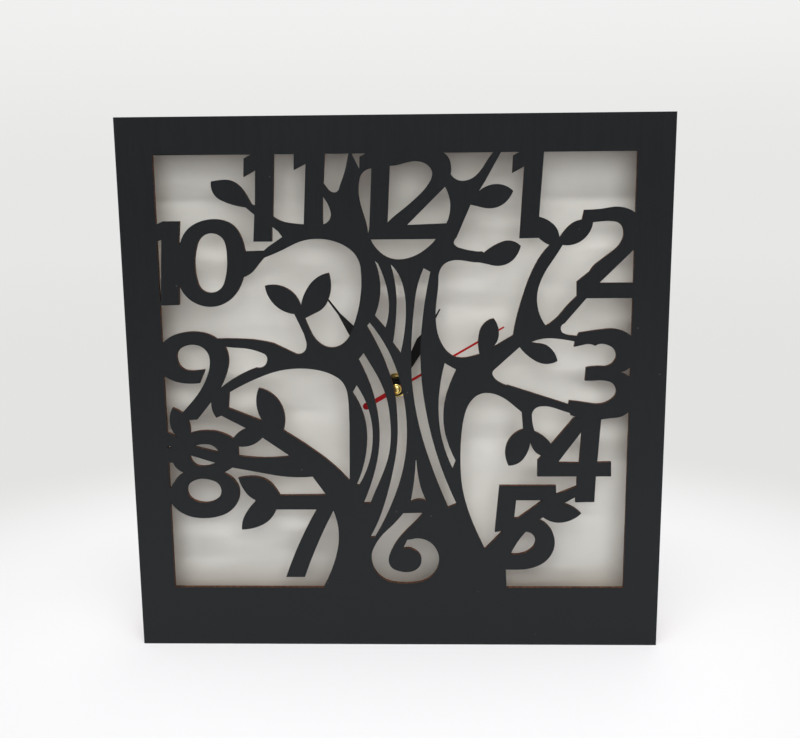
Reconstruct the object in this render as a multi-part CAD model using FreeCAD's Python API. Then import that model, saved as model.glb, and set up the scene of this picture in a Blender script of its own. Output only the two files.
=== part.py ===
import FreeCAD, Part
import math
import os

Vector = FreeCAD.Vector

# A wall clock in a shallow wooden box. Hands turn behind a front panel that is cut
# through as a tree with the twelve hour numerals among its branches. A quartz
# movement sits behind the inner back panel, with its battery and setting knob open
# to the rear. Lengths are in millimetres. X is across, Z is up and Y runs back.

# Box
panel_size = 300.0
panel_thickness = 3.0
side_border = 20.0
top_border = 20.0
bottom_border = 35.0
wall_thickness = 3.0
wall_depth = 45.0
finger_count = 5
hand_space = 22.0
back_thickness = 3.0
tab_length = 30.0
tab_clearance = 0.1
tab_place_shares = (0.25, 0.75)

# Hands
hand_thickness = 0.5
hour_hand_rise = 8.25
minute_hand_step = 3.0
second_hand_step = 2.7
hour_hand_length = 51.0
hour_hand_belly = 30.0
hour_hand_width = 6.6
hour_hub_radius = 5.0
minute_hand_length = 70.0
minute_hand_belly = 41.0
minute_hand_width = 5.5
minute_hub_radius = 4.0
hand_neck_width = 3.0
hand_tip_width = 0.8
hand_waist_share = 0.76
waist_width_share = 0.12
second_hand_length = 70.0
second_blade_width = 1.6
second_tip_width = 0.9
second_tail_length = 20.0
second_tail_width = 2.6
second_tail_radius = 2.0
second_hub_radius = 2.6
cap_radius = 3.0
cap_height = 1.4
cap_rim_width = 0.5
cap_dish_depth = 0.35

# Where the hands stand, in degrees clockwise from twelve
hour_hand_angle = 29.0
minute_hand_angle = 323.0
second_hand_angle = 60.0

# Shafts and the fixing at the dial
running_clearance = 0.05
seconds_arbor_radius = 0.5
minute_tube_radius = 1.7
hour_tube_radius = 2.5
bush_radius = 4.0
bush_proud = 1.0
tube_proud = 0.35
shaft_length_inside = 4.0
end_play = 0.2
nut_sides = 6
nut_across_flats = 12.0
nut_thickness = 3.6
washer_radius = 7.0
washer_thickness = 0.8
bush_hole_clearance = 0.15
gasket_size = 46.0
gasket_thickness = 1.0

# Setting knob
knob_offset = 9.8
knob_radius = 5.5
knob_thickness = 2.2
knob_gap = 0.25
knob_stem_radius = 2.0
knob_stem_length = 4.0
knob_flutes = 18
knob_flute_depth = 0.4
flute_root_share = 0.75
flute_tip_share = 0.35

# Battery and its contacts
battery_radius = 7.1
battery_body_length = 49.2
battery_nub_radius = 2.75
battery_nub_length = 1.3
battery_lift = 0.7
contact_room = 1.55
contact_sheet = 0.3
contact_width = 8.0
contact_height = 12.0
contact_bow_height = 9.0

# Movement housing
case_wall = 1.2
case_corner_radius = 3.0
bay_floor = 0.8
bay_rear_room = 1.0
partition_drop = 10.0
cover_thickness = 1.2
cover_gap = 0.15
lug_length = 8.0
lug_reach = 0.6
lug_thickness = 0.6
hanger_width = 16.0
hanger_height = 10.0
hanger_thickness = 2.0
hanger_corner_radius = 4.0
hanger_hole_radius = 2.75
hanger_rib_height = 3.0
hanger_rib_run = 4.0

# The arcs that stand for a smooth curve keep this close to it.
curve_tolerance = 0.3

# Openings of the front panel, each drawn once round. Across and up in thousandths
# of the window's width and height, from its lower left corner. Strokes are parted
# by a bar: one point is a straight line, two are an arc, more are a smooth curve.
opening_shares = {
    "above_ten": """0,1000 | 205,1000 | 190,992 | 188,952 | 213,966 | 210,890 | 203,893
        | 190,917 165,943 145,946 120,943 | 121,925 140,900 165,890 190,886 | 208,870
        | 204,811 | 243,811 | 244,844 | 257,833 | 265,821 | 235,800 | 225,791 | 186,790
        | 180,817 163,847 140,859 115,861 80,851 60,832 50,811 | 46,806 | 50,857 | 15,857
        | 0,850""",
    "beside_ten": "0,813 | 10,817 | 2,680 | 0,680",
    "counter_of_ten": """114,830
        | 139,820 147,782 146,750 132,710 109,698 88,710 78,748 82,795 93,821 114,830""",
    "between_nine_and_ten": """0,583 | 20,600 50,609 85,609 118,594 | 160,594 200,591 240,583
        | 286,559 | 300,560 309,571 309,589 305,605 | 286,649 | 260,658 240,676 225,713
        | 250,714 280,700 300,667 | 307,692 323,719 361,741 | 365,715 357,677
        | 344,659 330,650 308,639 | 320,609 330,592 351,575 370,573 390,583 403,601 | 411,621
        | 420,650 428,694 429,745 | 421,775 400,799 375,811 345,816 | 300,809 260,791 225,775
        | 210,756 196,741 180,732 | 170,706 150,681 130,670 95,667 70,675 50,699 43,717
        | 41,671 | 0,670""",
    "around_hook_of_nine": """0,510 | 25,496 51,491 77,492 | 90,523
        | 64,521 42,526 31,545 35,569 50,578 80,578 97,562 101,540 92,503 73,468 51,440 36,423
        | 25,430 15,435 | 8,411 9,392 15,376 26,363 | 0,378""",
    "right_of_nine": """121,480 | 133,505 141,535 135,576 | 170,573 205,565 225,549 222,537 200,527
        | 160,508 140,495 121,480""",
    "between_ones_of_eleven": """253,1000 | 294,1000 | 293,966 | 318,979 | 311,848
        | 283,851 262,857 247,866""",
    "right_of_eleven": "358,1000 | 354,937 | 365,924 375,917 390,937 402,973 407,1000",
    "slot_by_eleven": "352,909 | 366,882 368,862 351,848",
    "above_twelve": "413,1000 | 443,1000 | 430,993 | 429,966",
    "left_of_twelve": "454,968 | 432,956 426,931 430,893 445,826 | 448,839",
    "bowl_under_twelve": "450,814 | 467,789 500,770 542,778 587,814",
    "inside_twelve": "492,973 | 530,980 559,980 579,961 560,919 520,881 486,851",
    "foot_of_twelve": "606,927 | 527,845 | 609,848 | 617,884 606,927",
    "notch_by_twelve": "603,1000 | 615,986 619,966 618,954 | 634,941 654,941 680,963 705,1000",
    "between_twelve_and_three": """721,1000 | 710,979 | 689,939 | 676,917 | 693,928 714,932 747,917
        | 732,894 710,881 689,881 659,888 | 630,817 | 624,806 650,790 687,783
        | 710,801 734,810 764,798 | 750,770 730,756 704,756 677,762
        | 645,766 612,764 598,751 592,716 586,650 592,600 605,569 628,550 650,549 679,556
        | 675,580 678,609 690,627 709,637 | 719,612 717,588 705,570 | 750,599
        | 757,639 771,692 790,747 824,799 | 814,804 801,815 | 761,814 | 769,969 | 744,955
        | 746,993 | 759,1000""",
    "above_two": """809,1000 | 1000,1000 | 1000,868 | 977,879 942,880 894,875 | 890,854
        | 870,846 853,829 844,815 | 838,835 820,853 801,861""",
    "inside_two": """913,848 | 942,850 974,840 976,815 949,780 908,740 | 882,718 | 883,686
        | 855,654 835,632 819,620 | 804,651 801,700 816,740 851,799 | 872,800 896,814 913,848""",
    "under_two": "1000,789 | 929,715 | 1000,715",
    "above_three": """903,681 | 1000,681 | 1000,596 | 979,608 941,612 889,604 | 885,596
        | 862,600 852,607 850,615 858,625""",
    "inside_three": """764,572 | 781,551 804,535 825,533 845,540 | 835,563 820,576 801,580 788,583
        | 810,590 851,590 881,584 | 879,572 | 899,577 911,578 924,574
        | 932,578 950,576 969,558 965,539 939,528 906,525 | 904,495
        | 941,495 967,485 972,467 954,447 916,442 872,449 | 870,440 | 740,485
        | 710,502 706,511 711,521""",
    "notch_beside_three": "978,514 | 990,518 1000,526 | 1000,502 | 990,509 978,514",
    "trunk_slot_top_left": "458,767 | 468,727 468,687 457,644 | 479,617 | 487,665 482,712 465,761",
    "trunk_slot_top_middle": """491,760 | 501,710 503,665 501,628 495,583 | 511,560
        | 521,618 523,660 515,721 491,760""",
    "trunk_slot_right": """561,750 | 575,742 | 564,686 555,620 552,560 555,500 567,411 589,319 631,205
        | 612,197 | 575,297 544,418 535,490 533,550 537,628 542,680 561,750""",
    "trunk_slot_middle": """440,621 | 446,629 | 482,573 503,524 518,453 523,390 519,321 501,249
        487,205 451,124 | 440,124 | 467,186 487,260 500,326 503,390 499,459 480,533 440,621""",
    "trunk_slot_left": """421,545 | 432,560 | 454,520 477,467 488,390 486,335 463,260 442,207
        | 427,207 | 451,278 463,350 461,414 448,477 421,545""",
    "trunk_slot_far_left": """407,469 | 416,486 | 436,445 449,385 445,324 418,250 | 412,251
        | 430,308 435,360 430,411 407,469""",
    "trunk_slot_far_right": """605,536 | 630,521 | 610,468 602,410 608,365 629,308 | 622,289
        | 601,346 590,410 591,458 605,536""",
    "trunk_slot_low": "542,310 | 543,310 | 546,278 551,251 565,212 | 548,216 530,210 | 538,260 542,310",
    "between_eight_and_nine": """100,448 | 102,428 110,411 | 121,416 | 174,386 | 159,378 144,362
        | 118,376 86,381 51,375 | 51,392 47,406 | 68,407""",
    "left_of_trunk": """140,470 | 189,498 250,521 301,525 351,516 387,491 397,455 399,396
        | 397,261 | 350,310 300,350 255,381 | 259,413 249,449 231,468 204,480
        | 198,447 201,425 210,403 | 137,434""",
    "upper_counter_of_eight": "57,344 | 75,349 96,347 112,329",
    "middle_counter_of_eight": "48,323 | 104,304 | 85,297 61,299 48,323",
    "speck_beside_eight": "0,346 | 9,342 | 0,338",
    "left_of_eight": "0,305 | 10,305 | 19,290 35,280 | 19,271 7,254 0,243",
    "right_of_eight": "155,343 | 184,346 209,364 | 268,320 | 220,316 155,321",
    "lower_counter_of_eight": """39,234
        | 43,253 59,264 90,264 108,255 114,235 109,220 92,210 60,211 44,221 39,234""",
    "around_seven": """0,0 | 0,210 | 10,196 30,180 60,172 92,173 121,181 146,204 154,234 149,255
        137,270 120,280 | 133,288 141,293 | 198,281 245,273 316,271 | 345,227 | 243,226
        | 234,242 211,265 187,271 152,268 | 158,251 170,230 188,215 | 188,211
        | 177,199 164,179 156,143 | 189,149 220,169 234,192 | 323,192 | 290,126 251,26
        | 293,26 | 323,107 360,189 | 369,150 366,89 334,0""",
    "figure_six": """514,183 | 468,129 442,76 460,27 521,11 577,30 592,65 568,113 533,120
        | 522,118 | 512,95 | 533,95 554,69 544,47 512,39 483,56 490,98 511,130 558,184""",
    "between_four_and_six": """693,95 | 660,177 643,245 639,310 643,389 655,437 677,463 703,467
        740,449 771,422 | 774,382 | 750,366 738,343 736,325 743,297
        | 757,299 775,311 786,332 790,352 | 797,334 815,320 | 806,309 | 806,271 | 892,271
        | 892,247 | 848,228 | 847,249 | 724,249 | 715,137 | 733,140""",
    "above_four": """799,377 | 793,410 797,430 820,436 850,429 874,420 | 875,415 | 890,410 | 882,408
        | 835,347 | 820,364 799,377""",
    "inside_four": "900,377 | 850,304 | 896,303",
    "right_of_four": """1000,424 | 986,413 960,407 941,405 | 935,304 | 965,305 | 966,271 | 933,271
        | 931,210 | 890,209 | 890,222 | 864,206 | 887,196 903,182 | 878,165 847,161 820,173
        | 811,167 | 835,147 847,112 833,72 804,52 766,45 | 740,45 | 742,0 | 1000,0""",
    "upper_counter_of_five": "761,214 | 820,214 | 766,171 | 757,171",
    "lower_counter_of_five": "783,138 | 803,124 803,107 780,87 750,83 | 765,113 783,138",
}
thousandth_share = 0.001

# Places worked out from the sizes above. Depth runs back from the front face.
front_y = -(panel_thickness + wall_depth) / 2
shaft_height = panel_size / 2
window_left = side_border - panel_size / 2
window_width = panel_size - 2 * side_border
window_height = panel_size - top_border - bottom_border
back_depth = panel_thickness + hand_space
movement_depth = back_depth + back_thickness + gasket_thickness
hour_hand_depth = back_depth - hour_hand_rise - hand_thickness / 2
minute_hand_depth = hour_hand_depth - minute_hand_step
second_hand_depth = minute_hand_depth - second_hand_step
nut_depth = back_depth - washer_thickness - nut_thickness
rear_depth = movement_depth + bay_floor + 2 * battery_radius + bay_rear_room
cover_depth = rear_depth - cover_thickness
knob_depth = rear_depth + knob_gap

# The three shafts share one hole in the housing.
bush_end = movement_depth + case_wall
shaft_end = bush_end + shaft_length_inside

# The housing's outline about the shaft, with the battery bay below
battery_length = battery_body_length + battery_nub_length
inner_half = battery_length / 2 + contact_room
case_half = inner_half + case_wall
bay_top = -partition_drop - case_wall
bay_bottom = bay_top - 2 * battery_radius - 2 * battery_lift
case_bottom = bay_bottom - case_wall
case_top = -case_bottom
battery_up = (bay_top + bay_bottom) / 2
battery_depth = movement_depth + bay_floor + battery_radius

centre = Vector(0, 0, 0)
knob_axis = Vector(knob_offset, 0, 0)
rearward = Vector(0, 1, 0)


# Shapes are placed across and up from the shaft, and by their depth.
def at(place, depth):
    return Vector(place.x, front_y + depth, shaft_height + place.z)


def polar(distance, angle):
    turn = math.radians(angle)
    return Vector(distance * math.cos(turn), 0, distance * math.sin(turn))


def rod(radius, depth, end, place=centre):
    return Part.makeCylinder(radius, end - depth, at(place, depth), rearward)


def tube(outer, inner, depth, end):
    return rod(outer, depth, end).cut(rod(inner, depth, end))


def block(left, right, bottom, top, depth, end):
    corner = at(Vector(left, 0, bottom), depth)
    return Part.makeBox(right - left, end - depth, top - bottom, corner)


def plate(edges, depth, end):
    face = Part.Face(Part.Wire(edges))
    face.translate(at(centre, depth))
    return face.extrude(rearward * (end - depth))


def polygon(points):
    return Part.makePolygon(points + points[:1]).Edges


def fuse(first, *others):
    return first.multiFuse(list(others)).removeSplitter()


def line(start, end):
    return Part.LineSegment(start, end).toShape()


def smooth(points, closed):
    curve = Part.BSplineCurve()
    if closed:
        curve.interpolate(Points=points[:-1], PeriodicFlag=True)
    else:
        curve.interpolate(points)
    return [arc.toShape() for arc in curve.toBiArcs(curve_tolerance)]


def same(point, other):
    return point.distanceToPoint(other) < running_clearance


# A stroke goes on from where the last one ended.
def stroke(start, points):
    if len(points) == 1:
        return [line(start, points[0])]
    if len(points) == 2:
        return [Part.Arc(start, points[0], points[1]).toShape()]
    return smooth([start] + points, same(start, points[-1]))


# Front panel
def window_place(pair):
    across, up = pair.split(",")
    x = window_left + window_width * float(across) * thousandth_share
    z = bottom_border + window_height * float(up) * thousandth_share
    return Vector(x, front_y, z)


def opening(outline):
    strokes = [[window_place(pair) for pair in part.split()] for part in outline.split("|")]
    start = first = strokes[0][0]
    edges = []
    for points in strokes[1:]:
        edges += stroke(start, points)
        start = points[-1]
    if not same(start, first):
        edges.append(line(start, first))
    return Part.Wire(edges)


def make_front_panel():
    half = panel_size / 2
    corners = [Vector(-half, front_y, 0), Vector(half, front_y, 0),
               Vector(half, front_y, panel_size), Vector(-half, front_y, panel_size)]
    rim = Part.Wire(polygon(corners))
    wires = [rim] + [opening(outline) for outline in opening_shares.values()]
    return Part.makeFace(wires, "Part::FaceMakerBullseye").extrude(rearward * panel_thickness)


# Box behind the panel. The walls join with fingers at the corners, and the back
# panel's tabs pass through slots in the walls.
def box_block(left, right, bottom, top, depth, end):
    return block(left, right, bottom - shaft_height, top - shaft_height, depth, end)


def fingers(left, bottom, first):
    length = wall_depth / finger_count
    depths = [panel_thickness + count * length for count in range(first, finger_count, 2)]
    return [box_block(left, left + wall_thickness, bottom, bottom + wall_thickness, depth, depth + length)
            for depth in depths]


def tab_places():
    inner = panel_size - 2 * wall_thickness
    return [wall_thickness + inner * share for share in tab_place_shares]


def upright_bars(left, right, slack):
    half = tab_length / 2 + slack
    depth, end = back_depth - slack, back_depth + back_thickness + slack
    return [box_block(left, right, middle - half, middle + half, depth, end) for middle in tab_places()]


def level_bars(bottom, top, slack):
    half = tab_length / 2 + slack
    depth, end = back_depth - slack, back_depth + back_thickness + slack
    places = [middle - panel_size / 2 for middle in tab_places()]
    return [box_block(place - half, place + half, bottom, top, depth, end) for place in places]


def make_side_wall(left):
    right = left + wall_thickness
    top = panel_size - wall_thickness
    wall = box_block(left, right, wall_thickness, top, panel_thickness, panel_thickness + wall_depth)
    wall = fuse(wall, *fingers(left, 0, 1), *fingers(left, top, 1))
    return wall.cut(upright_bars(left, right, tab_clearance))


def make_level_wall(bottom):
    top = bottom + wall_thickness
    right = panel_size / 2 - wall_thickness
    wall = box_block(-right, right, bottom, top, panel_thickness, panel_thickness + wall_depth)
    wall = fuse(wall, *fingers(-panel_size / 2, bottom, 0), *fingers(right, bottom, 0))
    return wall.cut(level_bars(bottom, top, tab_clearance))


def make_left_wall():
    return make_side_wall(-panel_size / 2)


def make_right_wall():
    return make_side_wall(panel_size / 2 - wall_thickness)


def make_bottom_wall():
    return make_level_wall(0)


def make_top_wall():
    return make_level_wall(panel_size - wall_thickness)


def make_back_panel():
    half = panel_size / 2
    inner = half - wall_thickness
    end = back_depth + back_thickness
    panel = block(-inner, inner, -inner, inner, back_depth, end)
    panel = fuse(panel, *upright_bars(-half, half, 0), *level_bars(0, panel_size, 0))
    return panel.cut(rod(bush_radius + bush_hole_clearance, back_depth, end))


# Hands. Each is drawn pointing up and then turned to its place.
def pointing(shape, angle):
    shape.rotate(at(centre, 0), rearward, angle)
    return shape


def lance_hand(length, belly, width, hub_radius, bore, depth, angle):
    end = depth + hand_thickness
    neck_up = math.sqrt(hub_radius ** 2 - (hand_neck_width / 2) ** 2)
    waist_width = hand_tip_width + (width - hand_tip_width) * waist_width_share
    side = [Vector(hand_neck_width / 2, 0, neck_up), Vector(width / 2, 0, belly),
            Vector(waist_width / 2, 0, length * hand_waist_share), Vector(hand_tip_width / 2, 0, length)]
    mirror = [Vector(-point.x, 0, point.z) for point in reversed(side)]
    hand = fuse(plate(polygon(side + mirror), depth, end), rod(hub_radius, depth, end))
    return pointing(hand.cut(rod(bore, depth, end)), angle)


def make_hour_hand():
    return lance_hand(hour_hand_length, hour_hand_belly, hour_hand_width, hour_hub_radius,
                      hour_tube_radius, hour_hand_depth, hour_hand_angle)


def make_minute_hand():
    return lance_hand(minute_hand_length, minute_hand_belly, minute_hand_width, minute_hub_radius,
                      minute_tube_radius, minute_hand_depth, minute_hand_angle)


def make_second_hand():
    depth, end = second_hand_depth, second_hand_depth + hand_thickness
    root, tip, tail = second_blade_width / 2, second_tip_width / 2, second_tail_width / 2
    blade = [Vector(root, 0, 0), Vector(tip, 0, second_hand_length),
             Vector(-tip, 0, second_hand_length), Vector(-root, 0, 0)]
    tail_end = Vector(0, 0, -second_tail_length)
    parts = [block(-tail, tail, -second_tail_length, 0, depth, end),
             rod(second_tail_radius, depth, end, tail_end), rod(second_hub_radius, depth, end)]
    hand = fuse(plate(polygon(blade), depth, end), *parts)
    return pointing(hand.cut(rod(seconds_arbor_radius, depth, end)), second_hand_angle)


# The cap is turned from one profile: a dished face and a chamfered rim.
def make_second_hand_cap():
    top = second_hand_depth - cap_height
    dish = top + cap_dish_depth
    rim = cap_radius - cap_rim_width
    points = [Vector(0, dish, 0), Vector(rim, top, 0), Vector(cap_radius, top + cap_rim_width, 0),
              Vector(cap_radius, second_hand_depth, 0), Vector(0, second_hand_depth, 0)]
    cap = Part.Face(Part.Wire(polygon(points))).revolve(centre, rearward, 360)
    cap.translate(at(centre, 0))
    return cap


# Fixing through the back panel
def make_threaded_bush():
    bore = hour_tube_radius + running_clearance
    return tube(bush_radius, bore, nut_depth - bush_proud, bush_end)


def make_hex_nut():
    end = nut_depth + nut_thickness
    step = 360 / nut_sides
    corner_radius = nut_across_flats / 2 / math.cos(math.pi / nut_sides)
    nut = plate(polygon([polar(corner_radius, (side + 1 / 2) * step) for side in range(nut_sides)]),
                nut_depth, end)
    narrow = nut_across_flats / 2
    cone = Part.makeCone(narrow, narrow + nut_thickness, nut_thickness, at(centre, nut_depth), rearward)
    return nut.common(cone).cut(rod(bush_radius, nut_depth, end))


def make_washer():
    return tube(washer_radius, bush_radius, back_depth - washer_thickness, back_depth)


def make_rubber_gasket():
    half = gasket_size / 2
    depth = back_depth + back_thickness
    pad = block(-half, half, -half, half, depth, movement_depth)
    return pad.cut(rod(bush_radius, depth, movement_depth))


# Shafts, each inside the next
def make_hour_tube():
    bore = minute_tube_radius + running_clearance
    return tube(hour_tube_radius, bore, hour_hand_depth - tube_proud, shaft_end)


def make_minute_tube():
    bore = seconds_arbor_radius + running_clearance
    return tube(minute_tube_radius, bore, minute_hand_depth - tube_proud, shaft_end)


def make_seconds_arbor():
    return rod(seconds_arbor_radius, second_hand_depth, shaft_end)


# Setting knob, with a fluted grip and a plain stem
def make_setting_knob():
    pitch = 360 / knob_flutes
    root = knob_radius - knob_flute_depth
    points = []
    for flute in range(knob_flutes):
        root_turn, tip_turn = flute_root_share * pitch / 2, flute_tip_share * pitch / 2
        for radius, turn in ((root, -root_turn), (knob_radius, -tip_turn), (knob_radius, tip_turn),
                             (root, root_turn)):
            points.append(knob_axis + polar(radius, flute * pitch + turn))
    grip = plate(polygon(points), knob_depth, knob_depth + knob_thickness)
    return fuse(grip, rod(knob_stem_radius, rear_depth - knob_stem_length, knob_depth, knob_axis))


# Movement housing. It is solid apart from the shaft hole, the battery bay and the
# recess that takes the rear cover.
def upright_edges(shape, above):
    return [edge for edge in shape.Edges
            if edge.BoundBox.YLength > running_clearance and edge.CenterOfMass.z > shaft_height + above]


def recess(gap, depth):
    side = inner_half - gap
    low = gap - partition_drop
    high = case_top - case_wall - gap
    plain = block(-side, side, low, high, depth, rear_depth)
    half = lug_length / 2 - gap
    middle = (low + high) / 2
    lug_depth = (cover_depth + rear_depth - lug_thickness) / 2 + gap
    lug_end = (cover_depth + rear_depth + lug_thickness) / 2 - gap
    reach = side + lug_reach
    return fuse(plain, block(-reach, reach, middle - half, middle + half, lug_depth, lug_end))


def make_movement_case():
    case = block(-case_half, case_half, case_bottom, case_top, movement_depth, rear_depth)
    case = case.makeFillet(case_corner_radius, upright_edges(case, case_bottom - case_wall))
    bay = block(-inner_half, inner_half, bay_bottom, bay_top, movement_depth + bay_floor, rear_depth)
    stem_hole = rod(knob_stem_radius + running_clearance, rear_depth - knob_stem_length - end_play,
                    rear_depth, knob_axis)
    shaft_hole = rod(hour_tube_radius + running_clearance, movement_depth, shaft_end + end_play)
    cuts = [bay, recess(0, cover_depth), rod(bush_radius, movement_depth, bush_end), shaft_hole, stem_hole]
    return fuse(case.cut(cuts), make_hanger())


def make_hanger():
    half = hanger_width / 2
    depth = rear_depth - hanger_thickness
    top = case_top + hanger_height
    tab = block(-half, half, case_top, top, depth, rear_depth)
    tab = tab.makeFillet(hanger_corner_radius, upright_edges(tab, top - case_wall))
    rib = [Vector(0, 0, case_top), Vector(0, -hanger_rib_run, case_top),
           Vector(0, 0, case_top + hanger_rib_height)]
    web = Part.Face(Part.Wire(polygon(rib)))
    web.translate(at(Vector(-half, 0, 0), depth))
    web = web.extrude(Vector(hanger_width, 0, 0))
    hole_up = case_top + hanger_height / 2
    return fuse(tab, web).cut(rod(hanger_hole_radius, depth, rear_depth, Vector(0, 0, hole_up)))


def make_rear_cover():
    stem_hole = rod(knob_stem_radius + running_clearance, cover_depth, rear_depth, knob_axis)
    return recess(cover_gap, cover_depth).cut(stem_hole)


# Battery and its contacts
def make_battery():
    start = at(Vector(-battery_length / 2, 0, battery_up), battery_depth)
    along = Vector(1, 0, 0)
    can = Part.makeCylinder(battery_radius, battery_body_length, start, along)
    nub_start = start + along * battery_body_length
    return fuse(can, Part.makeCylinder(battery_nub_radius, battery_nub_length, nub_start, along))


# A contact is a flat strip on the bay's end wall with a leaf bowed out to the battery.
def make_contact(side):
    depth = battery_depth - contact_width / 2
    end = depth + contact_width
    half = contact_height / 2
    wall, face = side * inner_half, side * battery_length / 2
    left, right = sorted((wall, wall - side * contact_sheet))
    strip = block(left, right, battery_up - half, battery_up + half, depth, end)
    foot = contact_bow_height / 2
    low, high = Vector(wall, 0, battery_up - foot), Vector(wall, 0, battery_up + foot)
    crown = Vector(face, 0, battery_up)
    lift = Vector(0, 0, contact_sheet)
    inner_crown = crown + Vector(side * contact_sheet, 0, 0)
    edges = [Part.Arc(low, crown, high).toShape(), line(high, high - lift),
             Part.Arc(high - lift, inner_crown, low + lift).toShape(), line(low + lift, low)]
    return fuse(strip, plate(edges, depth, end))


def make_positive_contact():
    return make_contact(1)


def make_negative_contact():
    return make_contact(-1)


makers = [
    make_front_panel, make_left_wall, make_right_wall, make_top_wall, make_bottom_wall, make_back_panel,
    make_hour_hand, make_minute_hand, make_second_hand, make_second_hand_cap,
    make_threaded_bush, make_hex_nut, make_washer, make_rubber_gasket,
    make_hour_tube, make_minute_tube, make_seconds_arbor, make_setting_knob,
    make_movement_case, make_rear_cover, make_battery, make_positive_contact, make_negative_contact,
]

os.makedirs("parts", exist_ok=True)
for make in makers:
    node = make.__name__.replace("make_", "")
    shape = make()
    shape.exportStep("parts/" + node + ".step")
    print(node, len(shape.Solids), round(shape.Volume, 1), shape.isValid())
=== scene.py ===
import math

import bmesh
import bpy
from mathutils import Matrix, Vector


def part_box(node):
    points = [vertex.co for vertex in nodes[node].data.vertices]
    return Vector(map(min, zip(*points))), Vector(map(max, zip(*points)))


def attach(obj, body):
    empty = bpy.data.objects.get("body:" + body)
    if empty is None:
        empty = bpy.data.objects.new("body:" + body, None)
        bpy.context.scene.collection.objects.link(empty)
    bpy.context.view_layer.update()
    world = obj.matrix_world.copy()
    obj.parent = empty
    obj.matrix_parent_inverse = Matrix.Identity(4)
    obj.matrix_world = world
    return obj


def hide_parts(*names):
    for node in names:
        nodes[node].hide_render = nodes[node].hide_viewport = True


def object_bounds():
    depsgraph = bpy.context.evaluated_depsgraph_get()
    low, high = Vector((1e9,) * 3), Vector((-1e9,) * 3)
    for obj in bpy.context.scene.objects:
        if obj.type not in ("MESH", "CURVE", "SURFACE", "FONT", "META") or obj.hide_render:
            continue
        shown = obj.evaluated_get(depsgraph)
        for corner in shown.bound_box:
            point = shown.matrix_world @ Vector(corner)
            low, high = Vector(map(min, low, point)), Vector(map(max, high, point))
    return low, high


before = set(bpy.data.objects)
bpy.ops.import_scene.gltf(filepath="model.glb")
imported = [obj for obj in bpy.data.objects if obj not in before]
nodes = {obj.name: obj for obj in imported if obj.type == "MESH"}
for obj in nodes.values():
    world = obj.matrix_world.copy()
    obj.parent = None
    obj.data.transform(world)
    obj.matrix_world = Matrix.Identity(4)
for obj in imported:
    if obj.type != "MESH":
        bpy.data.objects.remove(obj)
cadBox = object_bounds()
clockMiddle = (cadBox[0] + cadBox[1]) / 2
print("frame loaded,", len(nodes), "nodes")

# Camera, where the photograph was taken from
camera = {"place": (0.02406, -0.66008, 0.26598), "look": (-0.03104, 0.97664, -0.21262),
          "up": (0.00209, 0.21279, 0.9771), "lens": 52.09, "shiftX": -0.0038, "shiftY": 0.0784,
          "nearest": 0.01}


def addCamera():
    data = bpy.data.cameras.new("camera")
    data.lens = camera["lens"]
    data.shift_x = camera["shiftX"]
    data.shift_y = camera["shiftY"]
    data.clip_start = camera["nearest"]
    seat = bpy.data.objects.new("camera", data)
    bpy.context.scene.collection.objects.link(seat)
    seat.location = camera["place"]
    seat.rotation_mode = "QUATERNION"
    back = -Vector(camera["look"]).normalized()
    side = Vector(camera["up"]).cross(back).normalized()
    seat.rotation_quaternion = Matrix((side, back.cross(side), back)).transposed().to_quaternion()
    bpy.context.scene.camera = seat


addCamera()

# In the dictionaries of the materials a noise is its scale, detail and roughness, a grain its stretch
# along X, Y and Z, detail and roughness, a range where it starts and ends and its values there, and a
# bump its strength and height
noiseSpread = (0.3, 0.7)  # most values of a noise lie between these
skin = 0.00002  # how far a board's face reaches into it, and how fast it ends


# Material helpers
def link(tree, source, target):
    tree.links.new(source, target)


def startMaterial(name):
    material = bpy.data.materials.new(name)
    material.use_nodes = True
    tree = material.node_tree
    place = tree.nodes.new("ShaderNodeTexCoord").outputs["Object"]
    return material, tree, tree.nodes["Principled BSDF"], place


def noise(tree, vector, scale, detail, rough=0.55):
    texture = tree.nodes.new("ShaderNodeTexNoise")
    texture.inputs["Scale"].default_value = scale
    texture.inputs["Detail"].default_value = detail
    texture.inputs["Roughness"].default_value = rough
    link(tree, vector, texture.inputs["Vector"])
    return texture.outputs["Fac"]


def grain(tree, place, stretch, detail, rough=0.55):
    mapping = tree.nodes.new("ShaderNodeMapping")
    mapping.inputs["Scale"].default_value = stretch
    link(tree, place, mapping.inputs["Vector"])
    return noise(tree, mapping.outputs["Vector"], 1.0, detail, rough)


def spots(tree, vector, scale):
    texture = tree.nodes.new("ShaderNodeTexVoronoi")
    texture.inputs["Scale"].default_value = scale
    link(tree, vector, texture.inputs["Vector"])
    return texture.outputs["Distance"], texture.outputs["Color"]


def ranged(tree, value, start, end, startValue, endValue):
    node = tree.nodes.new("ShaderNodeMapRange")
    node.interpolation_type = "SMOOTHSTEP"
    numbers = {"From Min": start, "From Max": end, "To Min": startValue, "To Max": endValue}
    for socket, number in numbers.items():
        node.inputs[socket].default_value = number
    link(tree, value, node.inputs["Value"])
    return node.outputs["Result"]


def maths(tree, operation, first, second=None):
    node = tree.nodes.new("ShaderNodeMath")
    node.operation = operation
    for socket, value in zip(node.inputs, (first, second)):
        if isinstance(value, (int, float)):
            socket.default_value = value
        elif value is not None:
            link(tree, value, socket)
    return node.outputs["Value"]


# Mixes two colours: the node keeps its colours in inputs 6 and 7 and its mixed colour in output 2
def mixed(tree, factor, first, second):
    node = tree.nodes.new("ShaderNodeMix")
    node.data_type = "RGBA"
    for socket, value in ((node.inputs[0], factor), (node.inputs[6], first), (node.inputs[7], second)):
        if isinstance(value, tuple):
            socket.default_value = value + (1.0,)
        else:
            link(tree, value, socket)
    return node.outputs[2]


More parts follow.
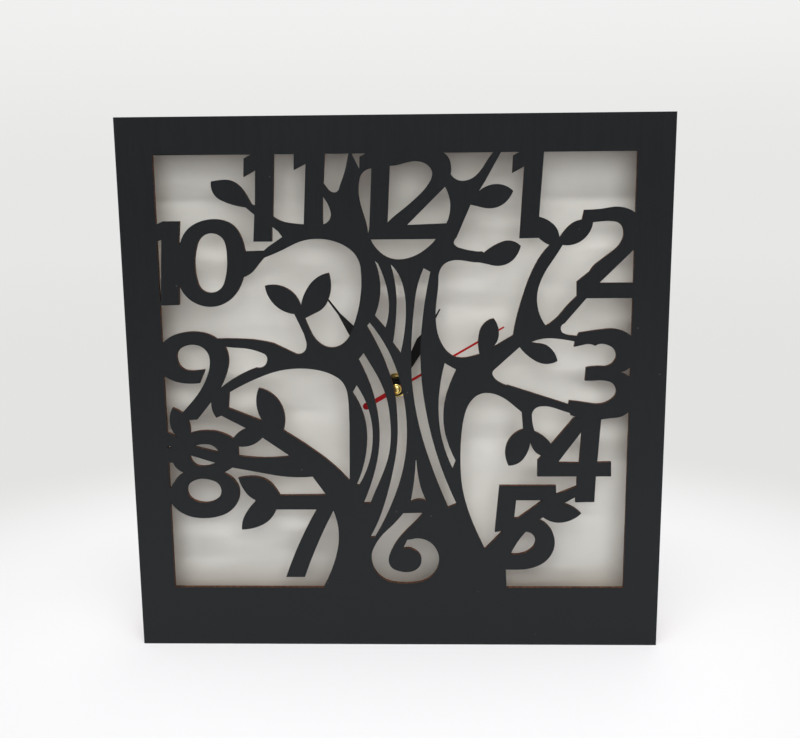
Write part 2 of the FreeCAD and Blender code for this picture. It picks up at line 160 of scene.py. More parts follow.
def bumped(tree, shader, height, strength, distance):
    node = tree.nodes.new("ShaderNodeBump")
    node.inputs["Strength"].default_value = strength
    node.inputs["Distance"].default_value = distance
    link(tree, height, node.inputs["Height"])
    link(tree, node.outputs["Normal"], shader.inputs["Normal"])


def axisOf(tree, place, axis):
    node = tree.nodes.new("ShaderNodeSeparateXYZ")
    link(tree, place, node.inputs["Vector"])
    return node.outputs[axis]


# How far a point is from a middle along an axis, in either direction
def awayFrom(tree, value, middle):
    return maths(tree, "ABSOLUTE", maths(tree, "SUBTRACT", value, middle))


# 1 on the face where a board's thickness starts, or ends, and 0 inside the board
def onStart(tree, value, face):
    return ranged(tree, value, face + skin, face + 2 * skin, 1.0, 0.0)


def onEnd(tree, value, face):
    return ranged(tree, value, face - 2 * skin, face - skin, 0.0, 1.0)


# Raw brown fibreboard: fine short fibres, a few darker chips, soot on what the laser cut
rawBoard = {"tan": (0.37, 0.225, 0.122), "deep": (0.25, 0.145, 0.075), "chip": (0.11, 0.06, 0.03),
            "soot": (0.03, 0.014, 0.008), "burnt": (0.1, 0.045, 0.02),
            "clouds": (38.0, 8.0, 0.68), "cloudRange": (0.25, 0.75, 0.0, 0.75),
            "fibres": ((900.0, 900.0, 260.0), 5.0, 0.7), "fibreRange": (0.3, 0.75, 0.0, 0.55),
            "chips": ((950.0, 950.0, 480.0), 2.0), "chipRange": (0.64, 0.74, 0.0, 0.5),
            "streaks": ((1500.0, 90.0, 1500.0), 3.0), "streakRange": (0.35, 0.65, 0.0, 1.0),
            "sootDepth": 0.0015, "sootMost": 0.75, "sootLeast": 0.5,
            "roughness": (0.66, 0.84), "specular": 0.3, "bump": (0.25, 0.0002)}


def fibreColour(tree, place):
    clouds = ranged(tree, noise(tree, place, *rawBoard["clouds"]), *rawBoard["cloudRange"])
    fibres = grain(tree, place, *rawBoard["fibres"])
    chips = ranged(tree, grain(tree, place, *rawBoard["chips"]), *rawBoard["chipRange"])
    colour = mixed(tree, clouds, rawBoard["tan"], rawBoard["deep"])
    colour = mixed(tree, ranged(tree, fibres, *rawBoard["fibreRange"]), colour, rawBoard["deep"])
    return mixed(tree, chips, colour, rawBoard["chip"]), fibres


def burntColour(tree, place):
    streaks = grain(tree, place, *rawBoard["streaks"])
    strength = ranged(tree, streaks, *rawBoard["streakRange"])
    return mixed(tree, strength, rawBoard["burnt"], rawBoard["soot"]), streaks


# Walls on both sides of the clock share one material, worked out from the one at the higher end of the axis
def wallMaterial(name, axis, higherWall):
    material, tree, shader, place = startMaterial(name)
    plain, fibres = fibreColour(tree, place)
    burnt, streaks = burntColour(tree, place)
    low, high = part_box(higherWall)
    number = "XYZ".index(axis)
    inner, outer = low[number] - clockMiddle[number], high[number] - clockMiddle[number]
    distance = awayFrom(tree, axisOf(tree, place, axis), clockMiddle[number])
    faces = onEnd(tree, awayFrom(tree, distance, (inner + outer) / 2), (outer - inner) / 2)
    rear = ranged(tree, axisOf(tree, place, "Y"), high.y - rawBoard["sootDepth"], high.y,
                  0.0, rawBoard["sootMost"])
    soot = maths(tree, "MULTIPLY", rear, ranged(tree, streaks, *noiseSpread, rawBoard["sootLeast"], 1.0))
    sooty = mixed(tree, soot, plain, rawBoard["burnt"])
    link(tree, mixed(tree, faces, burnt, sooty), shader.inputs["Base Color"])
    link(tree, ranged(tree, fibres, *noiseSpread, *rawBoard["roughness"]), shader.inputs["Roughness"])
    shader.inputs["Specular IOR Level"].default_value = rawBoard["specular"]
    bumped(tree, shader, maths(tree, "ADD", fibres, streaks), *rawBoard["bump"])
    return material


# Front panel: black stain on its face, paler towards the bottom as painted light from the floor, brown where
# the laser cut through, raw at the rear
frontPanel = {"stain": (0.0068, 0.0078, 0.0088), "stainPale": (0.0092, 0.0103, 0.0116),
              "stainFloorLit": (0.0165, 0.0181, 0.0195), "dust": (0.12, 0.12, 0.118),
              "edge": (0.115, 0.05, 0.026), "edgeSoot": (0.035, 0.017, 0.011),
              "fine": ((950.0, 950.0, 26.0), 6.0, 0.65), "fineRange": (0.3, 0.72, 0.0, 1.0),
              "coarse": ((160.0, 160.0, 7.0), 3.0), "coarseRange": (0.45, 0.75, 0.0, 0.45),
              "floorLightRange": (0.0, 0.29, 0.9, 0.0),
              "specks": 150.0, "speckSize": (0.035, 0.06, 1.0, 0.0), "speckCount": (0.86, 0.9, 0.0, 0.55),
              "streaks": ((1400.0, 60.0, 1400.0), 3.0), "streakRange": (0.35, 0.65, 0.0, 1.0),
              "worn": (9.0, 3.0), "satinRange": (0.7, 1.3, 0.5, 0.66), "edgeRoughness": (0.8, 0.8, 0.8),
              "specular": 0.06, "bump": (0.2, 0.0001)}


def frontMaterial():
    material, tree, shader, place = startMaterial("stainedFront")
    low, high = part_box("front_panel")
    depth = axisOf(tree, place, "Y")
    face, rear = onStart(tree, depth, low.y), onEnd(tree, depth, high.y)
    fine = grain(tree, place, *frontPanel["fine"])
    coarse = grain(tree, place, *frontPanel["coarse"])
    stain = mixed(tree, ranged(tree, fine, *frontPanel["fineRange"]), frontPanel["stain"],
                  frontPanel["stainPale"])
    stain = mixed(tree, ranged(tree, coarse, *frontPanel["coarseRange"]), stain, frontPanel["stainPale"])
    # Painted light: the stain turns paler towards the bottom, standing in for light from the floor
    height = ranged(tree, axisOf(tree, place, "Z"), *frontPanel["floorLightRange"])
    stain = mixed(tree, height, stain, frontPanel["stainFloorLit"])
    distance, tint = spots(tree, place, frontPanel["specks"])
    speck = maths(tree, "MULTIPLY", ranged(tree, distance, *frontPanel["speckSize"]),
                  ranged(tree, axisOf(tree, tint, "X"), *frontPanel["speckCount"]))
    stain = mixed(tree, speck, stain, frontPanel["dust"])
    streaks = ranged(tree, grain(tree, place, *frontPanel["streaks"]), *frontPanel["streakRange"])
    edge = mixed(tree, streaks, frontPanel["edge"], frontPanel["edgeSoot"])
    plain = fibreColour(tree, place)[0]
    link(tree, mixed(tree, rear, mixed(tree, face, edge, stain), plain), shader.inputs["Base Color"])
    worn = noise(tree, place, *frontPanel["worn"])
    satin = ranged(tree, maths(tree, "ADD", fine, worn), *frontPanel["satinRange"])
    link(tree, mixed(tree, face, frontPanel["edgeRoughness"], satin), shader.inputs["Roughness"])
    shader.inputs["Specular IOR Level"].default_value = frontPanel["specular"]
    bumped(tree, shader, fine, *frontPanel["bump"])
    return material


# Back panel: pale matt paint in front with a cloudy mottle, painted shade that darkens it towards the top
# and browns it near the box's walls, raw board behind
backPanel = {"paint": (0.68, 0.68, 0.645), "paintMottleAndTopShade": (0.565, 0.562, 0.525),
             "paintedWallShade": (0.38, 0.325, 0.26),
             "clouds": (14.0, 3.0), "cloudMost": 0.6, "topShadeRange": (-0.3, 0.7),
             "wallShadeLowReach": 0.02, "wallShadeWander": 0.012, "wallShadeRange": (0.13, 0.158, 0.0, 0.75),
             "roller": (700.0, 5.0), "roughness": (0.6, 0.78), "edgeRoughness": (0.8, 0.8, 0.8),
             "specular": 0.3, "bump": (0.12, 0.0001)}


def backMaterial():
    material, tree, shader, place = startMaterial("paintedBack")
    low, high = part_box("back_panel")
    depth, height = axisOf(tree, place, "Y"), axisOf(tree, place, "Z")
    front, rear = onStart(tree, depth, low.y), onEnd(tree, depth, high.y)
    clouds = noise(tree, place, *backPanel["clouds"])
    # Painted shade: darker towards the top, added on top of the paint's cloudy mottle
    deep = maths(tree, "ADD", ranged(tree, clouds, *noiseSpread, 0.0, backPanel["cloudMost"]),
                 ranged(tree, height, low.z, high.z, *backPanel["topShadeRange"]))
    paint = mixed(tree, deep, backPanel["paint"], backPanel["paintMottleAndTopShade"])
    # Painted shade: brown darkening near the box's walls, reaching a little further at the bottom
    sideways = awayFrom(tree, axisOf(tree, place, "X"), clockMiddle.x)
    raised = backPanel["wallShadeLowReach"] / 2
    upwards = maths(tree, "ADD", awayFrom(tree, height, (low.z + high.z) / 2 + raised), raised)
    border = maths(tree, "ADD", maths(tree, "MAXIMUM", sideways, upwards),
                   maths(tree, "MULTIPLY", clouds, backPanel["wallShadeWander"]))
    paint = mixed(tree, ranged(tree, border, *backPanel["wallShadeRange"]), paint, backPanel["paintedWallShade"])
    board = mixed(tree, rear, burntColour(tree, place)[0], fibreColour(tree, place)[0])
    link(tree, mixed(tree, front, board, paint), shader.inputs["Base Color"])
    roller = noise(tree, place, *backPanel["roller"])
    satin = ranged(tree, roller, *noiseSpread, *backPanel["roughness"])
    link(tree, mixed(tree, front, backPanel["edgeRoughness"], satin), shader.inputs["Roughness"])
    shader.inputs["Specular IOR Level"].default_value = backPanel["specular"]
    bumped(tree, shader, roller, *backPanel["bump"])
    return material


# The plainer finishes: two colours that a cloudy pattern mixes, and a roughness that a fine one spreads
def twoTones(tree, shader, pattern, colour, deep, spread=(*noiseSpread, 0.0, 1.0)):
    link(tree, mixed(tree, ranged(tree, pattern, *spread), colour, deep), shader.inputs["Base Color"])


def roughened(tree, shader, pattern, rough, less, more):
    link(tree, ranged(tree, pattern, *noiseSpread, rough - less, rough + more), shader.inputs["Roughness"])


# Satin lacquer on the stamped hands
lacquer = {"black": {"colour": (0.005, 0.005, 0.0055), "deep": (0.008, 0.008, 0.0085), "rough": 0.42},
           "red": {"colour": (0.34, 0.004, 0.006), "deep": (0.28, 0.003, 0.005), "rough": 0.4},
           "mottle": (900.0, 4.0), "clouds": (80.0, 3.0), "roughSpread": (0.06, 0.08),
           "specular": 0.08, "bump": (0.1, 0.00004)}


def lacquerMaterial(name, colour, deep, rough):
    material, tree, shader, place = startMaterial(name)
    mottle = noise(tree, place, *lacquer["mottle"])
    twoTones(tree, shader, noise(tree, place, *lacquer["clouds"]), colour, deep)
    roughened(tree, shader, mottle, rough, *lacquer["roughSpread"])
    shader.inputs["Specular IOR Level"].default_value = lacquer["specular"]
    bumped(tree, shader, mottle, *lacquer["bump"])
    return material


# Turned brass and spring steel, with tool lines and a little tarnish
metal = {"brass": {"colour": (0.8, 0.63, 0.23), "deep": (0.55, 0.42, 0.14), "rough": 0.13,
                   "lines": (200.0, 2600.0, 200.0)},
         "steel": {"colour": (0.66, 0.65, 0.63), "deep": (0.5, 0.49, 0.47), "rough": 0.26,
                   "lines": (300.0, 300.0, 2400.0)},
         "lineDetail": 3.0, "tarnish": (350.0, 4.0), "tarnishRange": (0.45, 0.75, 0.0, 0.8),
         "roughSpread": (0.05, 0.09), "bump": (0.15, 0.00003)}


def metalMaterial(name, colour, deep, rough, lines):
    material, tree, shader, place = startMaterial(name)
    turned = grain(tree, place, lines, metal["lineDetail"])
    twoTones(tree, shader, noise(tree, place, *metal["tarnish"]), colour, deep, metal["tarnishRange"])
    roughened(tree, shader, turned, rough, *metal["roughSpread"])
    shader.inputs["Metallic"].default_value = 1.0
    bumped(tree, shader, turned, *metal["bump"])
    return material


# Moulded plastic and rubber, with the mould's fine grain
moulded = {"rubber": {"colour": (0.02, 0.02, 0.021), "deep": (0.028, 0.028, 0.028), "rough": 0.72,
                      "fine": 1300.0, "depth": 0.0001},
           "black": {"colour": (0.022, 0.022, 0.024), "deep": (0.028, 0.028, 0.03), "rough": 0.5,
                     "fine": 1700.0, "depth": 0.00006},
           "white": {"colour": (0.74, 0.73, 0.69), "deep": (0.7, 0.69, 0.65), "rough": 0.42,
                     "fine": 1500.0, "depth": 0.00003},
           "fineDetail": 3.0, "clouds": (45.0, 3.0), "roughSpread": (0.07, 0.07), "bumpStrength": 0.3}


def mouldedMaterial(name, colour, deep, rough, fine, depth):
    material, tree, shader, place = startMaterial(name)
    spark = noise(tree, place, fine, moulded["fineDetail"])
    twoTones(tree, shader, noise(tree, place, *moulded["clouds"]), colour, deep)
    roughened(tree, shader, spark, rough, *moulded["roughSpread"])
    bumped(tree, shader, spark, moulded["bumpStrength"], depth)
    return material


# Battery sleeve: dark, with a pale band and a pale line near the nub's end, placed from that end
sleeve = {"colour": (0.055, 0.075, 0.1), "deep": (0.048, 0.066, 0.09), "pale": (0.55, 0.55, 0.53),
          "bandRange": (-0.0118, -0.0116, 0.0, 1.0), "lineStart": (-0.0142, -0.0141, 0.0, 1.0),
          "lineEnd": (-0.0132, -0.0131, 1.0, 0.0), "clouds": (60.0, 3.0),
          "scuffs": ((90.0, 2500.0, 2500.0), 4.0), "scuffRough": (0.35, 0.7, 0.25, 0.32),
          "coat": 0.4, "bump": (0.05, 0.00003)}


def sleeveMaterial():
    material, tree, shader, place = startMaterial("batterySleeve")
    fromEnd = maths(tree, "SUBTRACT", axisOf(tree, place, "X"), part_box("battery")[1].x)
    clouds = ranged(tree, noise(tree, place, *sleeve["clouds"]), *noiseSpread, 0.0, 1.0)
    line = maths(tree, "MULTIPLY", ranged(tree, fromEnd, *sleeve["lineStart"]),
                 ranged(tree, fromEnd, *sleeve["lineEnd"]))
    pale = maths(tree, "MAXIMUM", ranged(tree, fromEnd, *sleeve["bandRange"]), line)
    colour = mixed(tree, pale, mixed(tree, clouds, sleeve["colour"], sleeve["deep"]), sleeve["pale"])
    link(tree, colour, shader.inputs["Base Color"])
    scuffs = grain(tree, place, *sleeve["scuffs"])
    link(tree, ranged(tree, scuffs, *sleeve["scuffRough"]), shader.inputs["Roughness"])
    shader.inputs["Coat Weight"].default_value = sleeve["coat"]
    bumped(tree, shader, scuffs, *sleeve["bump"])
    return material


def dress(material, *parts):
    for part in parts:
        mesh = nodes[part].data
        mesh.materials.clear()
        mesh.materials.append(material)


turnedBrass = metalMaterial("turnedBrass", **metal["brass"])
springSteel = metalMaterial("springSteel", **metal["steel"])
blackPlastic = mouldedMaterial("blackPlastic", **moulded["black"])
whitePlastic = mouldedMaterial("whitePlastic", **moulded["white"])
batterySleeve = sleeveMaterial()
dress(frontMaterial(), "front_panel")
dress(backMaterial(), "back_panel")
dress(wallMaterial("sideWallBoard", "X", "right_wall"), "left_wall", "right_wall")
dress(wallMaterial("levelWallBoard", "Z", "top_wall"), "top_wall", "bottom_wall")
dress(lacquerMaterial("blackLacquer", **lacquer["black"]), "hour_hand", "minute_hand")
dress(lacquerMaterial("redLacquer", **lacquer["red"]), "second_hand")
dress(turnedBrass, "second_hand_cap", "threaded_bush", "hex_nut", "washer", "minute_tube")
dress(springSteel, "seconds_arbor", "positive_contact", "negative_contact")
dress(mouldedMaterial("gasketRubber", **moulded["rubber"]), "rubber_gasket")
dress(blackPlastic, "movement_case", "rear_cover", "hour_tube")
dress(whitePlastic, "setting_knob")
dress(batterySleeve, "battery")
print("materials made")

# Modelling helpers: everything is picked by its place or normal
facing = 0.9  # a face looks along an axis when this much of its normal does
square = 0.999  # and looks squarely along it when this much does
touching = 0.00001  # metres between a face and a plane that it lies in
mergeGap = 0.000002  # points nearer than this are one point
quarterTurn = math.pi / 2
noShift = (0, 0, 0)
softBevel = {"segments": 3, "sharpest": 30.0}


def startPiece(name, adder, **settings):
    bpy.ops.object.select_all(action="DESELECT")
    adder(**settings)
    piece = bpy.context.object
    piece.name = name
    bpy.ops.object.transform_apply(location=True, rotation=True, scale=True)
    bpy.ops.object.mode_set(mode="EDIT")
    return piece


def pickFaces(test):
    bpy.ops.mesh.select_mode(type="FACE")
    bpy.ops.mesh.select_all(action="DESELECT")
    mesh = bpy.context.object.data
    grid = bmesh.from_edit_mesh(mesh)
    for face in grid.faces:
        face.select_set(test(face.calc_center_median(), face.normal))
    bmesh.update_edit_mesh(mesh)


def pickPoints(test):
    bpy.ops.mesh.select_mode(type="VERT")
    bpy.ops.mesh.select_all(action="DESELECT")
    mesh = bpy.context.object.data
    grid = bmesh.from_edit_mesh(mesh)
    for point in grid.verts:
        point.select_set(test(point.co))
    grid.select_flush_mode()
    bmesh.update_edit_mesh(mesh)


# Size across a line along Y, as a share, with the depth kept
def across(share):
    return share, 1, share


# Pulls a copy of the picked face along, then shrinks or widens it about the middle
def stepOut(shift, scale, middle):
    bpy.ops.mesh.extrude_region_move(TRANSFORM_OT_translate={"value": shift})
    bpy.ops.transform.resize(value=scale, center_override=middle)


def finishPiece(piece, body, slot, material=None, angle=35.0, bevel=0.0):
    bpy.ops.mesh.select_all(action="SELECT")
    bpy.ops.mesh.normals_make_consistent(inside=False)
    bpy.ops.object.mode_set(mode="OBJECT")
    if bevel:
        edge = piece.modifiers.new("softEdges", "BEVEL")
        edge.width = bevel
        edge.segments = softBevel["segments"]
        edge.limit_method = "ANGLE"
        edge.angle_limit = math.radians(softBevel["sharpest"])
        bpy.ops.object.modifier_apply(modifier=edge.name)
    bpy.ops.object.shade_smooth_by_angle(angle=math.radians(angle))
    if material:
        piece.data.materials.append(material)
    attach(piece, body)


# Copies a finished piece with its own mesh, moved along
def copyPiece(piece, name, shift, body, slot):
    bpy.ops.object.select_all(action="DESELECT")
    piece.select_set(True)
    bpy.context.view_layer.objects.active = piece
    bpy.ops.object.duplicate(linked=False)
    copied = bpy.context.object
    copied.name = name
    copied.location = shift
    bpy.ops.object.transform_apply(location=True, rotation=False, scale=False)
    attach(copied, body)


# Turns a closed ring from its profile, a list of (radius, depth), about a line along Y
def turnRing(name, profile, middle, points):
    radius, depth = profile[0]
    ring = startPiece(name, bpy.ops.mesh.primitive_circle_add, vertices=points, radius=radius,
                      location=(middle[0], depth, middle[1]), rotation=(quarterTurn, 0, 0))
    bpy.ops.mesh.select_mode(type="EDGE")
    bpy.ops.mesh.select_all(action="SELECT")
    for newRadius, newDepth in profile[1:] + profile[:1]:
        stepOut((0, newDepth - depth, 0), across(newRadius / radius), (middle[0], newDepth, middle[1]))
        radius, depth = newRadius, newDepth
    bpy.ops.mesh.select_all(action="SELECT")
    bpy.ops.mesh.remove_doubles(threshold=mergeGap)
    return ring


# Cap on the second hand: rounded rim, a dish inside it and a low dome in the dish
capShape = {"points": 72, "rimRound": 0.00028, "rimSegments": 4, "rimWidth": 0.00035, "dish": 0.00042,
            "dishFloorShare": 0.93, "dome": 0.0004, "domeSteps": 6}


def makeCap():
    low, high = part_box("second_hand_cap")
    middle = (low + high) / 2
    piece = startPiece("domedCap", bpy.ops.mesh.primitive_cylinder_add, vertices=capShape["points"],
                       radius=(high.x - low.x) / 2, depth=high.y - low.y, location=middle,
                       rotation=(quarterTurn, 0, 0))
    pickFaces(lambda centre, normal: normal.y < -facing)
    bpy.ops.mesh.bevel(offset=capShape["rimRound"], segments=capShape["rimSegments"], affect="EDGES")
    pickFaces(lambda centre, normal: normal.y < -square and centre.y < low.y + touching)
    bpy.ops.mesh.inset(thickness=capShape["rimWidth"], depth=0)
    stepOut((0, capShape["dish"], 0), across(capShape["dishFloorShare"]), middle)
    turnStep = quarterTurn / capShape["domeSteps"]
    last = 0.0
    for step in range(1, capShape["domeSteps"]):
        turn = turnStep * step
        rise = capShape["dome"] * math.sin(turn)
        stepOut((0, last - rise, 0), across(math.cos(turn) / math.cos(turn - turnStep)), middle)
        last = rise
    bpy.ops.mesh.poke(offset=0.0)
    finishPiece(piece, "seconds", "brass", turnedBrass)
    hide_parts("second_hand_cap")


makeCap()

# Bush with its thread cut as fine ridges, and a plain stretch at its rear end
bushShape = {"points": 64, "pitch": 0.00075, "threadDepth": 0.00042, "rootShare": 0.45, "crestShare": 0.9,
             "bore": 0.00255, "lead": 0.0004, "plainEnd": 0.0012, "smoothAngle": 25.0}


def makeBush():
    low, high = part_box("threaded_bush")
    middle = ((low.x + high.x) / 2, (low.z + high.z) / 2)
    bore, pitch = bushShape["bore"], bushShape["pitch"]
    crest = (high.x - low.x) / 2
    root = crest - bushShape["threadDepth"]
    depth = low.y + bushShape["lead"]
    profile = [(bore, low.y), (root, low.y), (crest, depth)]
    while depth + pitch < high.y - bushShape["plainEnd"]:
        profile += [(root, depth + pitch * bushShape["rootShare"]),
                    (crest, depth + pitch * bushShape["crestShare"]), (crest, depth + pitch)]
        depth += pitch
    profile += [(crest, high.y), (bore, high.y)]
    piece = turnRing("cutThreadBush", profile, middle, bushShape["points"])
    finishPiece(piece, "case", "brass", turnedBrass, angle=bushShape["smoothAngle"])
    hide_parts("threaded_bush")


makeBush()

# Setting knob: fluted grip with a rounded rim and a dished rear, on a plain stem
knobShape = {"flutes": 18, "flutePoints": 6, "sunkPoints": 2, "fluteShare": 0.94, "gripDepth": 0.0022,
             "rimRound": 0.00035, "rimSegments": 3, "dish": 0.0006, "dishShare": 0.72,
             "dishFloorShare": 0.9, "stemShare": 0.374}


def makeKnob():
    low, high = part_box("setting_knob")
    grip = knobShape["gripDepth"]
    middle = Vector(((low.x + high.x) / 2, high.y - grip / 2, (low.z + high.z) / 2))
    points = knobShape["flutes"] * knobShape["flutePoints"]
    piece = startPiece("flutedKnob", bpy.ops.mesh.primitive_cylinder_add, vertices=points,
                       radius=(high.x - low.x) / 2, depth=grip, location=middle,
                       rotation=(quarterTurn, 0, 0))

    def inFlute(point):
        turn = math.atan2(point.z - middle.z, point.x - middle.x) % math.tau
        return round(turn / math.tau * points) % knobShape["flutePoints"] < knobShape["sunkPoints"]

    pickPoints(inFlute)
    bpy.ops.transform.resize(value=across(knobShape["fluteShare"]), center_override=middle)
    pickFaces(lambda centre, normal: normal.y > facing)
    bpy.ops.mesh.bevel(offset=knobShape["rimRound"], segments=knobShape["rimSegments"], affect="EDGES")
    pickFaces(lambda centre, normal: normal.y > square and centre.y > high.y - touching)
    stepOut(noShift, across(knobShape["dishShare"]), middle)
    stepOut((0, -knobShape["dish"], 0), across(knobShape["dishFloorShare"]), middle)
    pickFaces(lambda centre, normal: normal.y < -facing)
    stepOut(noShift, across(knobShape["stemShare"]), middle)
    stepOut((0, low.y - high.y + grip, 0), across(1), middle)
    finishPiece(piece, "knob", "white_plastic", whitePlastic)
    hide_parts("setting_knob")


makeKnob()

# Battery: plain sleeve rolled over its ends, steel ends, a nub at the right and a dimpled pad at the left
batteryShape = {"points": 72, "roll": 0.0005, "rollSegments": 4, "lip": 0.0003, "sunk": 0.00022,
                "nub": 0.0013, "nubRadius": 0.00275, "nubFoot": 0.0009, "nubFootShare": 0.8,
                "nubRound": 0.0002, "nubTopShare": 0.92, "padShare": 0.8, "padRiseShare": 0.6,
                "padTopShare": 0.94, "dimpleShare": 0.35, "dimpleDepthShare": 0.5,
                "dimpleFloorShare": 0.85, "steelDepth": 0.0004, "steelSlack": 0.00005,
                "smoothAngle": 40.0}


def makeBattery():
    shape = batteryShape
    low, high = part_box("battery")
    length = high.x - low.x - shape["nub"]
    right = low.x + length
    middle = Vector((low.x + length / 2, (low.y + high.y) / 2, (low.z + high.z) / 2))
    radius = (high.z - low.z) / 2
    steelRadius = radius - shape["roll"] - shape["lip"]

    # One step along the battery, with the end's face shrunk to a share of its radius
    def step(along, share=1):
        stepOut((along, 0, 0), (1, share, share), middle)

    def startEnd(side, end):
        pickFaces(lambda centre, normal: normal.x * side > square and abs(centre.x - end) < touching)
        bpy.ops.mesh.inset(thickness=shape["lip"], depth=0)
        step(-side * shape["sunk"])

    piece = startPiece("sleevedBattery", bpy.ops.mesh.primitive_cylinder_add, vertices=shape["points"],
                       radius=radius, depth=length, location=middle, rotation=(0, quarterTurn, 0))
    pickFaces(lambda centre, normal: abs(normal.x) > facing)
    bpy.ops.mesh.bevel(offset=shape["roll"], segments=shape["rollSegments"], affect="EDGES")
    startEnd(1, right)
    footRadius = shape["nubRadius"] + shape["nubFoot"]
    footRise = shape["sunk"] * shape["nubFootShare"]
    step(0, footRadius / steelRadius)
    step(footRise, shape["nubRadius"] / footRadius)
    step(shape["nub"] + shape["sunk"] - footRise - shape["nubRound"])
    step(shape["nubRound"], shape["nubTopShare"])
    startEnd(-1, low.x)
    step(0, shape["padShare"])
    step(-shape["sunk"] * shape["padRiseShare"], shape["padTopShare"])
    step(0, shape["dimpleShare"])
    step(shape["sunk"] * shape["dimpleDepthShare"], shape["dimpleFloorShare"])
    piece.data.materials.append(batterySleeve)
    piece.data.materials.append(springSteel)
    pickFaces(lambda centre, normal: abs(centre.x - middle.x) > length / 2 - shape["steelDepth"]
              and math.hypot(centre.y - middle.y, centre.z - middle.z) < steelRadius + shape["steelSlack"])
    piece.active_material_index = 1  # the steel
    bpy.ops.object.material_slot_assign()
    finishPiece(piece, "case", "battery_sleeve", angle=shape["smoothAngle"])
    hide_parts("battery")


makeBattery()

# Raised details on the movement's rear cover: a ring about the knob, ribs and the battery's marks
coverShape = {"proud": 0.0004, "ringPoints": 72, "ringInner": 0.0066, "ringOuter": 0.0073,
              "ringRound": 0.00012, "ribs": 4, "ribLength": 0.03, "ribWidth": 0.0009, "ribStep": 0.0024,
              "ribMiddle": -0.006, "ribDown": 0.004, "ribRound": 0.00018, "markSize": 0.0044,
              "markStroke": 0.0009, "markIn": 0.006, "markUp": 0.0042, "markRound": 0.00015}


def addBar(name, middle, width, height, depth, arms=0.0):
    bar = startPiece(name, bpy.ops.mesh.primitive_cube_add, size=1.0, location=middle,
                     scale=(width, depth, height))
    if arms:
        for side in (1, -1):
            bpy.ops.mesh.select_all(action="SELECT")
            bpy.ops.mesh.bisect(plane_co=(middle[0] + side * height / 2, middle[1], middle[2]),
                                plane_no=(1, 0, 0))
        for side in (1, -1):
            pickFaces(lambda centre, normal: normal.z * side > facing
                      and abs(centre.x - middle[0]) < height / 2)
            bpy.ops.mesh.extrude_region_move(TRANSFORM_OT_translate={"value": (0, 0, side * arms)})
    return bar


def makeCoverDetails():
    finish = ("case", "black_plastic")
    low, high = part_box("rear_cover")
    knobLow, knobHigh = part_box("setting_knob")
    knobMiddle = ((knobLow.x + knobHigh.x) / 2, (knobLow.z + knobHigh.z) / 2)
    base, top = high.y, high.y + coverShape["proud"]
    inner, outer, edge = coverShape["ringInner"], coverShape["ringOuter"], coverShape["ringRound"]
    profile = [(inner, base - edge), (inner, top - edge), (inner + edge, top), (outer - edge, top),
               (outer, top - edge), (outer, base - edge)]
    ring = turnRing("knobRing", profile, knobMiddle, coverShape["ringPoints"])
    finishPiece(ring, *finish, blackPlastic)
    depth = coverShape["proud"] * 2  # half of each bar is sunk in the cover
    ribPlace = (coverShape["ribMiddle"], base, high.z - coverShape["ribDown"])
    rib = addBar("coverRib1", ribPlace, coverShape["ribLength"], coverShape["ribWidth"], depth)
    finishPiece(rib, *finish, blackPlastic, bevel=coverShape["ribRound"])
    for count in range(1, coverShape["ribs"]):
        copyPiece(rib, f"coverRib{count + 1}", (0, 0, -count * coverShape["ribStep"]), *finish)
    size, stroke = coverShape["markSize"], coverShape["markStroke"]
    markHeight = low.z + coverShape["markUp"]
    plus = addBar("plusMark", (high.x - coverShape["markIn"], base, markHeight), size, stroke, depth,
                  arms=(size - stroke) / 2)
    finishPiece(plus, *finish, blackPlastic, bevel=coverShape["markRound"])
    minus = addBar("minusMark", (low.x + coverShape["markIn"], base, markHeight), size, stroke, depth)
    finishPiece(minus, *finish, blackPlastic, bevel=coverShape["markRound"])


makeCoverDetails()
print("pieces made")

# Pale stage: a wide floor that keeps the shadow near the clock and fades into the world's plain tone
stage = {"size": 60.0, "gridParts": 4, "paper": (0.82, 0.815, 0.83), "roughness": 0.9, "specular": 0.1,
         "near": (0.93, 0.925, 0.935), "middle": (0.77, 0.772, 0.757), "horizon": (0.8, 0.8, 0.79),
         "sky": (0.88, 0.88, 0.875), "worldLight": (0.33, 0.33, 0.335), "worldMirror": (0.13, 0.13, 0.12),
         "middleRange": (0.27, 0.52, 0.0, 1.0), "horizonRange": (0.8, 4.0, 0.0, 1.0),
         "glowRange": (0.14, 0.32, 0.45, 1.0), "skyRange": (0.0, 0.16, 0.0, 1.0)}


def rayKinds(tree):
    paths = tree.nodes.new("ShaderNodeLightPath")
    direct = maths(tree, "MAXIMUM", paths.outputs["Is Camera Ray"], paths.outputs["Is Transmission Ray"])
    return direct, paths.outputs["Is Glossy Ray"]


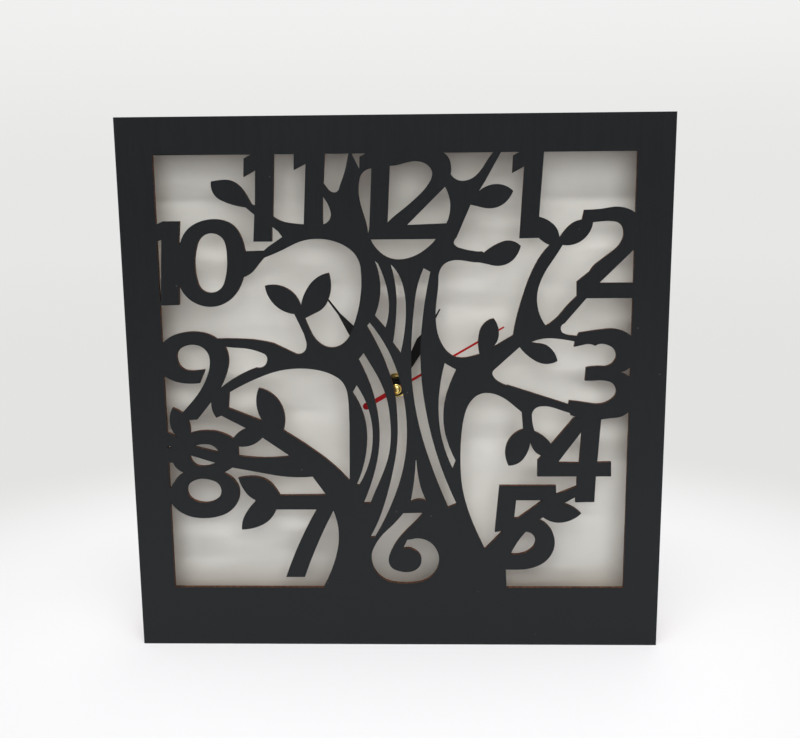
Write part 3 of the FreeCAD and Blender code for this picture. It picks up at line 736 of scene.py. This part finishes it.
def addFloor():
    bpy.ops.object.select_all(action="DESELECT")
    bpy.ops.mesh.primitive_grid_add(x_subdivisions=stage["gridParts"], y_subdivisions=stage["gridParts"],
                                    size=stage["size"], location=(0, 0, 0))
    floor = bpy.context.object
    floor.name = "floor"
    material, tree, shader, place = startMaterial("floorPaper")
    length = tree.nodes.new("ShaderNodeVectorMath")
    length.operation = "LENGTH"
    link(tree, place, length.inputs[0])
    reach = length.outputs["Value"]
    tone = mixed(tree, ranged(tree, reach, *stage["middleRange"]), stage["near"], stage["middle"])
    tone = mixed(tree, ranged(tree, reach, *stage["horizonRange"]), tone, stage["horizon"])
    glow = tree.nodes.new("ShaderNodeEmission")
    link(tree, tone, glow.inputs["Color"])
    blend = tree.nodes.new("ShaderNodeMixShader")
    far = ranged(tree, reach, *stage["glowRange"])
    seen = maths(tree, "MAXIMUM", *rayKinds(tree))
    link(tree, maths(tree, "MULTIPLY", far, seen), blend.inputs[0])
    link(tree, shader.outputs["BSDF"], blend.inputs[1])
    link(tree, glow.outputs["Emission"], blend.inputs[2])
    link(tree, blend.outputs["Shader"], tree.nodes["Material Output"].inputs["Surface"])
    shader.inputs["Base Color"].default_value = stage["paper"] + (1.0,)
    shader.inputs["Roughness"].default_value = stage["roughness"]
    shader.inputs["Specular IOR Level"].default_value = stage["specular"]
    floor.data.materials.append(material)


def setWorld():
    world = bpy.data.worlds.new("paleStudio")
    world.use_nodes = True
    tree = world.node_tree
    place = tree.nodes.new("ShaderNodeTexCoord").outputs["Generated"]
    rise = ranged(tree, axisOf(tree, place, "Z"), *stage["skyRange"])
    seen = mixed(tree, rise, stage["horizon"], stage["sky"])
    direct, mirrored = rayKinds(tree)
    unseen = mixed(tree, mirrored, stage["worldLight"], stage["worldMirror"])
    link(tree, mixed(tree, direct, unseen, seen), tree.nodes["Background"].inputs["Color"])
    bpy.context.scene.world = world


# Lamps: two narrow strips above the camera throw the panel's shadows on the back panel, the rest are soft
lamps = {"stripMiddle": {"place": (0.0, -0.72, 0.98), "aim": clockMiddle, "size": (0.9, 0.07), "watts": 4.5},
         "stripHigh": {"place": (0.0, -0.48, 1.14), "aim": clockMiddle, "size": (0.9, 0.1), "watts": 4.9},
         "softFront": {"place": (0.1, -1.5, 0.65), "aim": clockMiddle, "size": (1.2, 0.8), "watts": 11.6},
         "softRear": {"place": (0.3, 1.5, 0.9), "aim": clockMiddle, "size": (1.2, 0.8), "watts": 9.0},
         "softTop": {"place": (0.0, -0.1, 1.8), "aim": (0.0, -0.1, 0.0), "size": (2.2, 2.2), "watts": 11.0}}


def addLamp(name, place, aim, size, watts):
    data = bpy.data.lights.new(name, "AREA")
    data.shape = "RECTANGLE"
    data.size, data.size_y = size
    data.energy = watts
    lamp = bpy.data.objects.new(name, data)
    bpy.context.scene.collection.objects.link(lamp)
    lamp.location = place
    lamp.rotation_mode = "QUATERNION"
    lamp.rotation_quaternion = (Vector(aim) - Vector(place)).to_track_quat("-Z", "Y")


addFloor()
setWorld()
for lampName, lamp in lamps.items():
    addLamp(lampName, **lamp)
bpy.context.scene.view_settings.view_transform = "Standard"
print("stage and lamps set")
